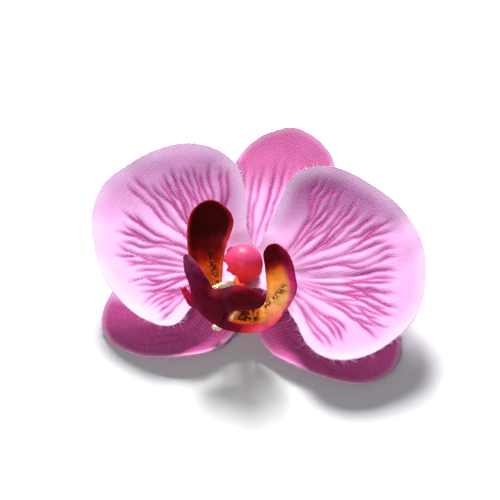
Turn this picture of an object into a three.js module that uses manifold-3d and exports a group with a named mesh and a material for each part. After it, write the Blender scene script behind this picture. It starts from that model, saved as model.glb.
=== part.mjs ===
// Artificial moth-orchid flower head, lying on its back: die-cut cloth layers threaded on a
// moulded plastic column and closed by a cap behind. Millimetres, +Z up, origin on the table
// under the middle of the flower, upper sepal towards +Y, lip towards -Y.

import * as THREE from "three";
import { mergeVertices } from "three/addons/utils/BufferGeometryUtils.js";
import Module from "manifold-3d";

const wasm = await Module();
wasm.setup();

// Driving dimensions
const CLOTH = 0.6; // thickness of a pressed cloth layer
const CLOTH_SQUARE = 92; // side of the square that a layer is pressed and cut from
const CLOTH_CELLS = 40; // facets along that side
const CUT_POINTS = 110; // points along a cut outline
const GAP = 0.35; // clearance between neighbouring pieces
const POST_RADIUS = 1.2; // column post that carries every layer
const HOLE_RADIUS = POST_RADIUS + GAP; // punched hole in each layer
const HUB_RADIUS = 3.6; // flat middle of each layer, clamped on the post
const CAP_HEIGHT = 10.4;
const CAP_FOOT_RADIUS = 5.5;
const CAP_NECK_RADIUS = 2.8;
const SEPAL_HUB = CAP_HEIGHT + GAP + CLOTH; // top of the sepal layer at the post
const WASHER_HEIGHT = 1;
const WASHER_RADIUS = 3;
const WASHER_FOOT = SEPAL_HUB + GAP;
const PETAL_HUB = WASHER_FOOT + WASHER_HEIGHT + GAP + CLOTH;
const LIP_HUB = PETAL_HUB + GAP + CLOTH;
const SEPAL_REST = 0.65; // top of a lower sepal where it lies on the table
const PETAL_LEAN = 0.34; // rise of the petals per millimetre towards the upper sepal
const PETAL_DISH = 0.006; // upward curl of a petal towards its upper and lower rim
const PETAL_CURL = 0.0035; // upward curl of a petal towards its outer end
const SEPAL_LEAN = 0.35; // rise of the upper sepal per millimetre
const HEAD_RADIUS = 4.75; // knob of the column
const HEAD_CENTRE = [-1.6, -4.1, 22];

// Outlines of the cloth layers seen from above, anticlockwise
const SEPAL_OUTLINE = [
  [6.2, 2.8], [9.5, 9], [15, 17], [19.2, 25], [20, 32], [16, 36.6], [9, 39.4], [1.5, 37.5],
  [-4, 33.2], [-7, 27], [-7.2, 19], [-6.2, 10], [-6.2, 4.2], [-11.5, 5], [-19, 6.5], [-27, 6],
  [-33, 2.5], [-36, -4.5], [-35.6, -11], [-31.2, -16.3], [-24, -19.4], [-16, -19.9], [-9, -17.8],
  [-3.5, -13.2], [0.2, -8.2], [3.6, -12.8], [9, -17.2], [17, -20.8], [25, -22.6], [31.5, -21.6],
  [37, -17.2], [39.3, -10], [38, -2], [32.5, 3.8], [24, 6], [13.5, 4.6],
];
const PETAL_OUTLINE = [
  [1.5, 8.2], [-1.1, 11], [-2, 15.5], [-2.7, 20.5], [-5, 26], [-10.3, 29.4], [-18.5, 30.5],
  [-26, 28.2], [-33, 23.8], [-38.8, 18], [-40.6, 11], [-38.8, 2], [-35, -5.5], [-30.6, -10],
  [-25, -13.8], [-20, -15.1], [-16.6, -14], [-13.6, -9.4], [-9.5, -6.3], [-4.5, -4.3],
  [0, -4], [4, -4.3], [8.5, -6], [12.2, -11], [15.6, -17.6], [21, -20.9], [28.5, -20.2],
  [36, -15.4], [41.4, -9], [43.7, 0], [43.2, 8], [39.3, 15.8], [32.5, 22], [24, 26.6],
  [18, 27.8], [12.8, 27], [8.8, 24.2], [6.6, 19.4], [4.9, 14.8], [3.1, 10.8],
];

// Bent strips of the lip, in rows across the strip: one edge, the middle, the other edge
const LEFT_LOBE = [
  [[-8.4, -8.6, 13.8], [-6.6, -8, 13.6], [-4.8, -6.8, 13.8]],
  [[-9.7, -7.6, 15], [-7.8, -7.2, 15.4], [-6.2, -6.6, 15.9]],
  [[-12.1, -6.2, 19.2], [-9.3, -4.8, 18.2], [-6.5, -5.4, 20]],
  [[-14.5, -3.8, 21.6], [-10.8, -1.4, 20.5], [-6.9, -3.2, 22.6]],
  [[-15.4, -1.2, 24.8], [-11.6, 1.2, 23.3], [-6.8, -1.4, 25.9]],
  [[-15.7, 1.8, 27.5], [-11.2, 4.2, 26.2], [-5, 0.8, 27.7]],
  [[-15.2, 4.4, 29.2], [-11.2, 6.2, 28.6], [-4.8, 3, 29.7]],
  [[-13.4, 6.2, 30.9], [-10.6, 7.2, 30.9], [-6.4, 5, 31.3]],
  [[-11.8, 7, 31.4], [-10.4, 7.4, 31.5], [-8.6, 6.6, 31.7]],
];
const RIGHT_LOBE = [
  [[3, -12, 6.4], [6.6, -12, 8.8], [8.9, -11, 12.9]],
  [[3.9, -10, 9.9], [6.9, -9.8, 12.8], [10.7, -9.6, 15.3]],
  [[4.6, -8, 13.8], [7.6, -7.2, 16.2], [11.8, -8, 18.4]],
  [[4.4, -6, 17.4], [7, -4.6, 19.1], [11.1, -6.6, 21.9]],
  [[3.7, -3.2, 20.8], [6.1, -1.8, 21], [10, -4.6, 24.6]],
  [[3.1, -1.4, 23.1], [5.4, -0.6, 23.9], [8.3, -2.8, 26.5]],
  [[3.8, -0.4, 25], [5.4, -0.2, 25.8], [6.8, -1.2, 26.5]],
];
const THROAT = [
  [[-3.2, 2.6, 14.4], [0, 2.6, 14.4], [3.2, 2.6, 14.4]],
  [[-3.6, -2.5, 14.5], [-1.2, -2.5, 14.4], [1.3, -2.5, 14.5]],
  [[-5.6, -6, 14.1], [-4.2, -6.2, 13.6], [-2.7, -6, 14]],
  [[-8.4, -9.2, 13.8], [-6, -9.8, 12.8], [-3, -9.4, 12.8]],
  [[-8, -12, 12.6], [-5.6, -12.4, 12], [-2.4, -12, 11.6]],
];
const FLOOR = [
  [[-7.6, -13, 9.1], [-6.8, -12, 11.5], [-6, -10, 12.6]],
  [[-5.1, -13.4, 7.9], [-4.1, -12.2, 11.3], [-3.8, -9.6, 12.8]],
  [[-2.1, -13.6, 7.4], [-1.4, -12, 10.2], [-1.4, -9, 12.3]],
  [[0.6, -13.4, 7.1], [1.1, -11.8, 9.9], [1, -8.6, 12.1]],
  [[3.3, -12.8, 7], [3.7, -11.2, 10.2], [3.7, -8, 12.5]],
  [[5.6, -11.8, 7.7], [6.1, -10.2, 10.8], [5.6, -7.6, 13]],
];
const MIDDLE_LOBE = [
  [[-15.9, -6.5, 25.5], [-15.5, -6.1, 26.1], [-14.8, -5.6, 25.4]],
  [[-15.5, -8.2, 22.8], [-14.2, -7.8, 24], [-12.7, -6.9, 24]],
  [[-13.9, -10, 18.8], [-12.1, -9.9, 21.2], [-10.1, -8.6, 21.1]],
  [[-12.8, -11.6, 14.9], [-10.6, -11.9, 18.9], [-8.4, -9.4, 18.2]],
  [[-9.7, -12.6, 10.7], [-8.3, -13.3, 17.1], [-6.7, -10.2, 19.2]],
  [[-6.1, -13.2, 8.2], [-5.1, -14.2, 16.7], [-4.5, -10.6, 20.8]],
];
const WING = [
  [[-6.1, -14, 14.8], [-5.6, -13.5, 18.4], [-5.2, -10.5, 20.2]],
  [[-3.4, -14.3, 16.2], [-3.1, -13.3, 20.4], [-2.9, -11, 22]],
  [[-1.3, -14, 16.5], [-0.8, -13.5, 20.6], [-0.5, -11.6, 22.6]],
  [[1.1, -13, 15.8], [1.6, -13, 19.7], [2, -12, 21.4]],
  [[3.1, -11.6, 15.1], [3.5, -11.8, 17.9], [3.9, -11.4, 19.3]],
  [[4, -11, 15.8], [4.3, -11, 17], [4.4, -10.8, 17.7]],
];
const HORN = [
  [[-12, -11.8, 12.9], [-12.3, -11.6, 15.7], [-12.6, -11, 17.9]],
  [[-14, -11.4, 13.7], [-14, -11, 15.5], [-13.6, -10.6, 17.3]],
  [[-15.3, -10.8, 16.1], [-15, -10.6, 17], [-14.5, -10.2, 18]],
  [[-16.5, -10, 19], [-15.7, -10, 18.2], [-15.2, -9.8, 19]],
];

const smoothstep = THREE.MathUtils.smoothstep;

function petalHeight(x, y) {
  const free = smoothstep(Math.hypot(x, y), HUB_RADIUS, 12);
  const across = y - 2;
  const outwards = Math.max(Math.abs(x) - 12, 0);
  return PETAL_HUB + free * (PETAL_LEAN * across + PETAL_DISH * across ** 2)
    + PETAL_CURL * outwards ** 2;
}

function upperSepalHeight(x, y) {
  const along = Math.max(y - HUB_RADIUS, 0);
  const tip = Math.max(y - 18, 0);
  return SEPAL_HUB + SEPAL_LEAN * along + 0.01 * tip ** 2 + 0.004 * (x - 0.22 * y) ** 2;
}

// A lower sepal slopes from the hub to the table and is dished along its own axis.
function lowerSepalHeight(x, y, axisDegrees) {
  const radius = Math.hypot(x, y);
  const axis = THREE.MathUtils.degToRad(axisDegrees);
  const across = y * Math.cos(axis) - x * Math.sin(axis);
  const down = smoothstep(radius, HUB_RADIUS, 19);
  const tip = Math.max(radius - 30, 0);
  return SEPAL_HUB + (SEPAL_REST - SEPAL_HUB) * down
    + 0.018 * across ** 2 * smoothstep(radius, 8, 20) + 0.01 * tip ** 2;
}

function sepalHeight(x, y) {
  const side = smoothstep(x, -2, 2);
  const left = lowerSepalHeight(x, y, 198);
  const right = lowerSepalHeight(x, y, 336);
  const lower = left + (right - left) * side;
  const upper = smoothstep(y / (Math.hypot(x, y) + 1), 0.3, 0.7);
  return lower + (upperSepalHeight(x, y) - lower) * upper;
}

function geometryOf(positions, index) {
  const geometry = new THREE.BufferGeometry();
  geometry.setAttribute("position", new THREE.Float32BufferAttribute(positions, 3));
  geometry.setIndex(index);
  return geometry;
}

// A bent strip of cloth through rows of three points, given its thickness along its normals.
function stripGeometry(rows, along, across, thickness) {
  const lines = [0, 1, 2].map(
    (column) => new THREE.CatmullRomCurve3(rows.map((row) => new THREE.Vector3(...row[column]))),
  );
  const at = (u, v) => {
    const [a, b, c] = lines.map((line) => line.getPoint(THREE.MathUtils.clamp(u, 0, 1)));
    return a.multiplyScalar(v * (v - 1) / 2)
      .addScaledVector(b, 1 - v * v)
      .addScaledVector(c, v * (v + 1) / 2);
  };
  const step = 0.01;
  const normal = (u, v) => {
    const alongIt = at(u + step, v).sub(at(u - step, v));
    const acrossIt = at(u, v + step).sub(at(u, v - step));
    return alongIt.cross(acrossIt).normalize();
  };
  const positions = [];
  const index = [];
  const wide = across + 1;
  const under = (along + 1) * wide;
  for (const side of [0.5, -0.5]) {
    for (let i = 0; i <= along; i += 1) {
      for (let j = 0; j <= across; j += 1) {
        const u = i / along;
        const v = 2 * j / across - 1;
        positions.push(...at(u, v).addScaledVector(normal(u, v), side * thickness));
      }
    }
  }
  const quad = (a, b, c, d) => index.push(a, b, c, a, c, d);
  for (let i = 0; i < along; i += 1) {
    for (let j = 0; j < across; j += 1) {
      const a = i * wide + j;
      quad(a, a + wide, a + wide + 1, a + 1);
      quad(under + a, under + a + 1, under + a + wide + 1, under + a + wide);
    }
    const left = i * wide;
    const right = left + across;
    quad(left, under + left, under + left + wide, left + wide);
    quad(right, right + wide, under + right + wide, under + right);
  }
  for (let j = 0; j < across; j += 1) {
    const far = along * wide + j;
    quad(j, j + 1, under + j + 1, under + j);
    quad(far, under + far, under + far + 1, far + 1);
  }
  return geometryOf(positions, index);
}

function solidOf(geometry) {
  const bare = geometry.clone();
  bare.deleteAttribute("normal");
  bare.deleteAttribute("uv");
  const merged = mergeVertices(bare);
  return new wasm.Manifold(new wasm.Mesh({
    numProp: 3,
    vertProperties: new Float32Array(merged.attributes.position.array),
    triVerts: new Uint32Array(merged.index.array),
  }));
}

function geometryFromSolid(solid) {
  const mesh = solid.getMesh();
  return geometryOf(Array.from(mesh.vertProperties), Array.from(mesh.triVerts));
}

function postHole(bottom, top) {
  const cylinder = new THREE.CylinderGeometry(HOLE_RADIUS, HOLE_RADIUS, top - bottom, 24);
  return solidOf(cylinder.rotateX(Math.PI / 2).translate(0, 0, (top + bottom) / 2));
}

// A die-cut layer: a square of cloth pressed to its height, then cut to its outline and punched.
function layerGeometry(outline, height) {
  const cloth = new THREE.BoxGeometry(CLOTH_SQUARE, CLOTH_SQUARE, CLOTH, CLOTH_CELLS, CLOTH_CELLS, 1);
  const place = cloth.attributes.position;
  for (let i = 0; i < place.count; i += 1) {
    const x = place.getX(i);
    const y = place.getY(i);
    place.setZ(i, height(x, y) + place.getZ(i) - CLOTH / 2);
  }
  const curve = new THREE.CatmullRomCurve3(
    outline.map(([x, y]) => new THREE.Vector3(x, y, 0)), true, "centripetal",
  );
  const shape = new THREE.Shape(curve.getSpacedPoints(CUT_POINTS));
  const cutter = new THREE.ExtrudeGeometry(shape, { depth: CLOTH_SQUARE, bevelEnabled: false });
  cutter.translate(0, 0, -CLOTH_SQUARE / 4);
  const cut = solidOf(cloth).intersect(solidOf(cutter));
  return geometryFromSolid(cut.subtract(postHole(0, CLOTH_SQUARE / 2)));
}

function latheGeometry(profile, segments) {
  const points = profile.map(([radius, height]) => new THREE.Vector2(radius, height));
  return new THREE.LatheGeometry(points, segments).rotateX(Math.PI / 2);
}

function lipGeometry() {
  const strips = [
    stripGeometry(THROAT, 12, 6, CLOTH),
    stripGeometry(LEFT_LOBE, 18, 6, CLOTH),
    stripGeometry(RIGHT_LOBE, 16, 6, CLOTH),
    stripGeometry(FLOOR, 10, 6, CLOTH),
    stripGeometry(MIDDLE_LOBE, 14, 6, CLOTH),
    stripGeometry(WING, 12, 6, CLOTH),
    stripGeometry(HORN, 6, 2, CLOTH),
  ];
  const whole = strips.map(solidOf).reduce((sum, strip) => sum.add(strip));
  return geometryFromSolid(whole.subtract(postHole(LIP_HUB - 3, LIP_HUB + 3)));
}

// The column: a straight post through the layers, a bent neck and a five-lobed knob.
function columnGeometry() {
  const [x, y, z] = HEAD_CENTRE;
  const collarTop = LIP_HUB + GAP + 1.4;
  const post = latheGeometry([
    [0, 2.5], [POST_RADIUS, 2.5], [POST_RADIUS, LIP_HUB + GAP], [2.6, LIP_HUB + GAP],
    [2.6, collarTop - 0.3], [2.2, collarTop], [0, collarTop],
  ], 20);
  const neckPath = new THREE.QuadraticBezierCurve3(
    new THREE.Vector3(0, 0, LIP_HUB + GAP + 0.5),
    new THREE.Vector3(0, 0, z - 2.5),
    new THREE.Vector3(x, y, z),
  );
  const section = new THREE.Shape().absarc(0, 0, 2.1, 0, 2 * Math.PI, false);
  const neck = new THREE.ExtrudeGeometry(section, {
    steps: 8, extrudePath: neckPath, curveSegments: 6,
  });
  const head = new THREE.SphereGeometry(HEAD_RADIUS, 24, 14);
  const place = head.attributes.position;
  for (let i = 0; i < place.count; i += 1) {
    const point = new THREE.Vector3().fromBufferAttribute(place, i);
    const lobes = 0.05 * Math.cos(5 * Math.atan2(point.y, point.x)) * Math.hypot(point.x, point.y);
    point.multiplyScalar(1 + lobes / HEAD_RADIUS - 0.05);
    place.setXYZ(i, point.x, point.y, point.z * 0.95);
  }
  head.translate(x, y, z);
  return geometryFromSolid(solidOf(post).add(solidOf(neck)).add(solidOf(head)));
}

function capGeometry() {
  const floor = 2;
  return latheGeometry([
    [0, 0], [CAP_FOOT_RADIUS, 0], [CAP_FOOT_RADIUS, 1.2], [CAP_NECK_RADIUS + 0.6, 4],
    [CAP_NECK_RADIUS, CAP_HEIGHT], [HOLE_RADIUS, CAP_HEIGHT], [HOLE_RADIUS, floor], [0, floor],
  ], 32);
}

function washerGeometry() {
  const top = WASHER_FOOT + WASHER_HEIGHT;
  return latheGeometry([
    [HOLE_RADIUS, WASHER_FOOT], [WASHER_RADIUS, WASHER_FOOT], [WASHER_RADIUS, top],
    [HOLE_RADIUS, top], [HOLE_RADIUS, WASHER_FOOT],
  ], 28);
}

// Set glue: an uneven drop, longer than it is thick.
function glueGeometry(radii, phase) {
  const drop = new THREE.SphereGeometry(1, 14, 8);
  const place = drop.attributes.position;
  for (let i = 0; i < place.count; i += 1) {
    const point = new THREE.Vector3().fromBufferAttribute(place, i);
    const lump = 1 + 0.12 * Math.sin(3 * point.x + phase) * Math.cos(4 * point.y + phase);
    place.setXYZ(i, point.x * radii[0] * lump, point.y * radii[1] * lump, point.z * radii[2]);
  }
  return drop;
}

function piece(name, geometry, color, roughness) {
  const material = new THREE.MeshStandardMaterial({ color, roughness, metalness: 0 });
  const mesh = new THREE.Mesh(geometry, material);
  mesh.name = name;
  return mesh;
}

const flower = new THREE.Group();
const throatGlue = piece("throat_glue", glueGeometry([2.6, 0.8, 0.7], 0.6), 0xe0c9a0, 0.5);
throatGlue.position.set(-5.4, -8.4, 18.6);
const lipGlue = piece("lip_glue", glueGeometry([1.3, 0.7, 0.7], 2.1), 0xd8c4a0, 0.5);
lipGlue.position.set(-6.8, -12.2, 6.9);
flower.add(
  piece("back_cap", capGeometry(), 0xe8ecdf, 0.45),
  piece("sepal_layer", layerGeometry(SEPAL_OUTLINE, sepalHeight), 0xc870b8, 0.85),
  piece("layer_washer", washerGeometry(), 0xe8ecdf, 0.45),
  piece("petal_layer", layerGeometry(PETAL_OUTLINE, petalHeight), 0xe6a8de, 0.85),
  piece("lip", lipGeometry(), 0x6b0a1c, 0.8),
  piece("column", columnGeometry(), 0xe0305c, 0.3),
  throatGlue,
  lipGlue,
);

export default flower;
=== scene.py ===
"""Artificial moth-orchid flower head: pressed and printed cloth layers on a moulded column.

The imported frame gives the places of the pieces. Each operator makes one piece or a group of
like pieces around it; the panel lists them in the order that they are made.
"""

import math
import random

import bpy
import numpy as np
from mathutils import Matrix, Vector, geometry, kdtree
from mathutils import noise as mnoise


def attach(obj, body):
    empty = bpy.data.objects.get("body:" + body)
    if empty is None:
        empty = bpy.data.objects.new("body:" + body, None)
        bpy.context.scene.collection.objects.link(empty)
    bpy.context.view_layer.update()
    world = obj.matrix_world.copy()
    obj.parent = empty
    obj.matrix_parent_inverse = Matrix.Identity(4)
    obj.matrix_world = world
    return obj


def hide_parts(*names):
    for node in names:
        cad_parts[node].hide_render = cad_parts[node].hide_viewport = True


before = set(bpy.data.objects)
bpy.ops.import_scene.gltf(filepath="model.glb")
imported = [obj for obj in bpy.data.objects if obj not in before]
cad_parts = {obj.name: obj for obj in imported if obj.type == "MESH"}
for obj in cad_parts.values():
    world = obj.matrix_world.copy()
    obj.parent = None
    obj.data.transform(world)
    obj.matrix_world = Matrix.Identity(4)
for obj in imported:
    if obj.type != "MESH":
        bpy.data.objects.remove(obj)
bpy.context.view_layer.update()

bl_info = {
    "name": "Artificial orchid flower head",
    "version": (1, 0, 0),
    "blender": (4, 5, 0),
    "location": "3D View > Sidebar > Orchid",
    "description": "Makes the cloth, the column, the glue and the stage of an artificial orchid",
    "category": "Add Mesh",
}

MM = 0.001
SEED = 11


def linear(hex_text, alpha=1.0):
    """An sRGB hex colour as the linear RGBA that sockets hold."""
    parts = [int(hex_text[i : i + 2], 16) / 255 for i in (1, 3, 5)]
    return tuple(p / 12.92 if p <= 0.04045 else ((p + 0.055) / 1.055) ** 2.4 for p in parts) + (alpha,)


def length_property(name, millimetres, description):
    return bpy.props.FloatProperty(
        name=name, description=description, default=millimetres * MM, unit="LENGTH"
    )


def colour_property(name, hex_text, description):
    return bpy.props.FloatVectorProperty(
        name=name, description=description, default=linear(hex_text), subtype="COLOR", size=4,
        min=0, max=1,
    )


class OrchidSizes(bpy.types.PropertyGroup):
    """Sizes that a user would change, in metres."""

    cloth: length_property("Cloth", 0.42, "Thickness of the petal cloth")
    thread: length_property("Thread", 0.46, "Spacing of the threads in the petal cloth")
    grain: length_property("Grain", 0.36, "Spacing of the points that carry the pressed relief")
    vein_depth: length_property("Vein depth", 0.16, "How deep the veins are pressed")
    vein_width: length_property("Vein width", 0.44, "Half width of a pressed vein")
    fray: length_property("Fray", 0.9, "Length of a loose thread end at the cut edge")


class OrchidColours(bpy.types.PropertyGroup):
    """Print and plastic colours."""

    petal: colour_property("Petal", "#eeb2e6", "Lilac pink of the printed petals")
    petal_heart: colour_property("Petal heart", "#efc2e8", "Paler pink beside the column")
    petal_rim: colour_property("Petal rim", "#e4cde6", "Nearly white outer rim")
    petal_vein: colour_property("Petal vein", "#a81482", "Magenta of the printed veins")
    # Also the deep colour of the sepals' tone mask, on the upper sepal's tip partly painted shade
    sepal: colour_property("Sepal", "#cc1e8e", "Magenta of the lower sepals and the tip of the upper one")
    column: colour_property("Column", "#b23664", "Pink of the moulded column")
    glue: colour_property("Glue", "#e0c9a0", "Cream of the set glue")


# ---------------------------------------------------------------- view
ELEVATION = 47.6
ROLL = 4.4
DISTANCE = 0.275
LOOK_AT = Vector((-0.25, 4.8, 17.4)) * MM
LENS = 79.2

# ---------------------------------------------------------------- shapes in millimetres
HUB_RADIUS = 3.6
SEPAL_HUB = 11.35
PETAL_HUB = 13.65
# How steeply a petal rises towards its top edge, and how much it cups and lifts at its ends
PETAL_SLOPE = 0.34
PETAL_CUP = 0.006
PETAL_LIFT = 0.0035
# How far over the table the lower sepals run, and how steeply the upper one rises
SEPAL_FLOOR = 0.65
SEPAL_SLOPE = 0.35
# Spacing of the points along a cut edge, and how far that edge wanders
EDGE_STEP = 0.45
EDGE_WANDER = 0.035
# Slow unevenness of the pressed cloth
CRUMPLE_DEPTH = 0.35
CRUMPLE_SCALE = 0.16
# Loose thread ends for each point of the edge, and the radius of one at its root
FRAY_DENSITY = 2.2
FIBRE_RADIUS = 0.045

SEPAL_OUTLINE = [
    (6.2, 2.8), (9.5, 9), (15, 17), (19.2, 25), (20, 32), (16, 36.6), (9, 39.4), (1.5, 37.5),
    (-4, 33.2), (-7, 27), (-7.2, 19), (-6.2, 10), (-6.2, 4.2), (-11.5, 5), (-19, 6.5), (-27, 6),
    (-33, 2.5), (-36, -4.5), (-35.6, -11), (-31.2, -16.3), (-24, -19.4), (-16, -19.9), (-9, -17.8),
    (-3.5, -13.2), (0.2, -8.2), (3.6, -12.8), (9, -17.2), (17, -20.8), (25, -22.6), (31.5, -21.6),
    (37, -17.2), (39.3, -10), (38, -2), (32.5, 3.8), (24, 6), (13.5, 4.6),
]
PETAL_OUTLINE = [
    (1.5, 8.2), (-1.1, 11), (-2, 15.5), (-2.7, 20.5), (-5, 26), (-10.3, 29.4), (-18.5, 30.5),
    (-26, 28.2), (-33, 23.8), (-38.8, 18), (-40.6, 11), (-38.8, 2), (-35, -5.5), (-30.6, -10),
    (-25, -13.8), (-20, -15.1), (-16.6, -14), (-13.6, -9.4), (-9.5, -6.3), (-4.5, -4.3),
    (0, -4), (4, -4.3), (8.5, -6), (12.2, -11), (15.6, -17.6), (21, -20.9), (28.5, -20.2),
    (36, -15.4), (41.4, -9), (43.7, 0), (43.2, 8), (39.3, 15.8), (32.5, 22), (24, 26.6),
    (18, 27.8), (12.8, 27), (8.8, 24.2), (6.6, 19.4), (4.9, 14.8), (3.1, 10.8),
]


def smoothstep(low, high, x):
    t = np.clip((x - low) / (high - low), 0, 1)
    return t * t * (3 - 2 * t)


def petal_height(x, y):
    free = smoothstep(HUB_RADIUS, 12, np.hypot(x, y))
    across = y - 2
    outwards = np.maximum(np.abs(x) - 12, 0)
    return PETAL_HUB + free * (PETAL_SLOPE * across + PETAL_CUP * across**2) + PETAL_LIFT * outwards**2


def lower_sepal_height(x, y, axis_degrees):
    radius = np.hypot(x, y)
    axis = math.radians(axis_degrees)
    across = y * math.cos(axis) - x * math.sin(axis)
    down = smoothstep(HUB_RADIUS, 19, radius)
    tip = np.maximum(radius - 30, 0)
    return (
        SEPAL_HUB + (SEPAL_FLOOR - SEPAL_HUB) * down
        + 0.018 * across**2 * smoothstep(8, 20, radius) + 0.01 * tip**2
    )


def sepal_height(x, y):
    side = smoothstep(-2, 2, x)
    left = lower_sepal_height(x, y, 198)
    right = lower_sepal_height(x, y, 336)
    lower = left + (right - left) * side
    along = np.maximum(y - HUB_RADIUS, 0)
    tip = np.maximum(y - 18, 0)
    upper = SEPAL_HUB + SEPAL_SLOPE * along + 0.01 * tip**2 + 0.004 * (x - 0.22 * y) ** 2
    share = smoothstep(0.3, 0.7, y / (np.hypot(x, y) + 1))
    return lower + (upper - lower) * share


def spline(points, step, closed=False):
    """A smooth line through the points (centripetal Catmull-Rom), with a point every step."""
    known = [np.array(p, float) for p in points]
    if closed:
        known = [known[-1], *known, known[0], known[1]]
    else:
        known = [2 * known[0] - known[1], *known, 2 * known[-1] - known[-2]]
    line = []
    for a, b, c, d in zip(known, known[1:], known[2:], known[3:]):
        t1 = max(np.linalg.norm(b - a), 1e-9) ** 0.5
        t2 = t1 + max(np.linalg.norm(c - b), 1e-9) ** 0.5
        t3 = t2 + max(np.linalg.norm(d - c), 1e-9) ** 0.5
        count = max(2, math.ceil(np.linalg.norm(c - b) / step))
        for t in np.linspace(t1, t2, count, endpoint=False):
            ab = a * (t1 - t) / t1 + b * t / t1
            bc = b * (t2 - t) / (t2 - t1) + c * (t - t1) / (t2 - t1)
            cd = c * (t3 - t) / (t3 - t2) + d * (t - t2) / (t3 - t2)
            abc = ab * (t2 - t) / t2 + bc * t / t2
            bcd = bc * (t3 - t) / (t3 - t1) + cd * (t - t1) / (t3 - t1)
            line.append(abc * (t2 - t) / (t2 - t1) + bcd * (t - t1) / (t2 - t1))
    if not closed:
        line.append(known[-2])
    return np.array(line)


def nearest(points, tree_points):
    """For each point, its distance to the nearest of tree_points and that one's index."""
    tree = kdtree.KDTree(len(tree_points))
    for i, p in enumerate(tree_points):
        tree.insert((p[0], p[1], 0), i)
    tree.balance()
    found = [tree.find((p[0], p[1], 0)) for p in points]
    return np.array([f[2] for f in found]), np.array([f[1] for f in found])


def inside(points, rim):
    """Which points lie inside the closed line rim."""
    x, y = points[:, 0], points[:, 1]
    odd = np.zeros(len(points), bool)
    for (x1, y1), (x2, y2) in zip(rim, np.roll(rim, -1, axis=0)):
        if y1 != y2:
            crosses = (y1 > y) != (y2 > y)
            odd ^= crosses & (x < (x2 - x1) * (y - y1) / (y2 - y1) + x1)
    return odd


def cut_cloth(rim, grain):
    """A flat cut: its points, the rim's first, and its triangles, with even points inside."""
    low, high = rim.min(axis=0), rim.max(axis=0)
    rows = np.arange(low[1], high[1], grain * math.sqrt(3) / 2)
    grid = [
        (x + grain / 2 * (j % 2), y)
        for j, y in enumerate(rows)
        for x in np.arange(low[0], high[0], grain)
    ]
    grid = np.array(grid)
    grid = grid[inside(grid, rim)]
    away, _ = nearest(grid, rim)
    grid = grid[away > 0.7 * grain]
    flat = np.vstack([rim, grid])
    made = geometry.delaunay_2d_cdt(
        [Vector(p) for p in flat], [], [list(range(len(rim)))], 1, 1e-7
    )
    return np.array([tuple(p) for p in made[0]]), np.array(made[2])


def vertex_normals(points, triangles):
    a, b, c = (points[triangles[:, i]] for i in range(3))
    face = np.cross(b - a, c - a)
    total = np.zeros_like(points)
    for i in range(3):
        np.add.at(total, triangles[:, i], face)
    return total / np.linalg.norm(total, axis=1, keepdims=True)


def mesh_object(name, points, faces, values=None, uv=None):
    """A mesh object from points in millimetres, with point attributes and a UV map in metres."""
    mesh = bpy.data.meshes.new(name)
    mesh.from_pydata((points * MM).tolist(), [], [tuple(map(int, f)) for f in faces])
    mesh.update()
    for key, value in (values or {}).items():
        layer = mesh.attributes.new(key, "FLOAT", "POINT")
        layer.data.foreach_set("value", np.asarray(value, np.float32))
    if uv is not None:
        layer = mesh.uv_layers.new(name="Cloth")
        corner = np.empty(len(mesh.loops), np.int32)
        mesh.loops.foreach_get("vertex_index", corner)
        layer.data.foreach_set("uv", (uv[corner] * MM).astype(np.float32).ravel())
    made = bpy.data.objects.new(name, mesh)
    bpy.context.scene.collection.objects.link(made)
    return made


def thick_cloth(name, top, triangles, rim_count, thickness, values, uv):
    """A closed sheet: the pressed top, the same below it, and the cut edge between them."""
    normals = vertex_normals(top, triangles)
    count = len(top)
    below = top - normals * thickness
    rim = np.arange(rim_count)
    after = np.roll(rim, -1)
    edge = np.column_stack([after, rim, rim + count, after + count])
    under = triangles[:, ::-1] + count
    faces = [*triangles.tolist(), *under.tolist(), *edge.tolist()]
    points = np.vstack([top, below])
    doubled = {key: np.concatenate([value, value]) for key, value in values.items()}
    made = mesh_object(name, points, faces, doubled, np.vstack([uv, uv]))
    finish_surface(made, 50)
    return made


def select_only(piece):
    bpy.ops.object.select_all(action="DESELECT")
    piece.select_set(True)
    bpy.context.view_layer.objects.active = piece


def finish_surface(piece, degrees):
    """Smooth shading, with edges sharper than the angle left sharp."""
    select_only(piece)
    bpy.ops.object.shade_smooth_by_angle(angle=math.radians(degrees))


def dress(pieces, material):
    """Gives each piece its material, and ties it to the object."""
    for piece in pieces:
        piece.data.materials.append(material)
        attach(piece, "root")


def ragged(rim, rng, size):
    """The cut edge of woven cloth wanders by a fraction of a thread."""
    along = np.roll(rim, -1, axis=0) - np.roll(rim, 1, axis=0)
    outward = np.column_stack([along[:, 1], -along[:, 0]])
    outward /= np.linalg.norm(outward, axis=1, keepdims=True)
    return rim + outward * rng.normal(0, size, (len(rim), 1))


# ---------------------------------------------------------------- veins
class Veins:
    """Pressed and printed lines on one layer, kept as points with a strength."""

    def __init__(self):
        self.points = []
        self.strengths = []

    def add(self, line, strength):
        self.points.extend(line)
        self.strengths.extend(strength)

    def measure(self, points, width):
        away, which = nearest(points, self.points)
        return np.exp(-((away / width) ** 2)) * np.array(self.strengths)[which]


def wander(seed, s, scale):
    return mnoise.noise(Vector((seed * 7.3, s * scale, 0.5)))


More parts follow.
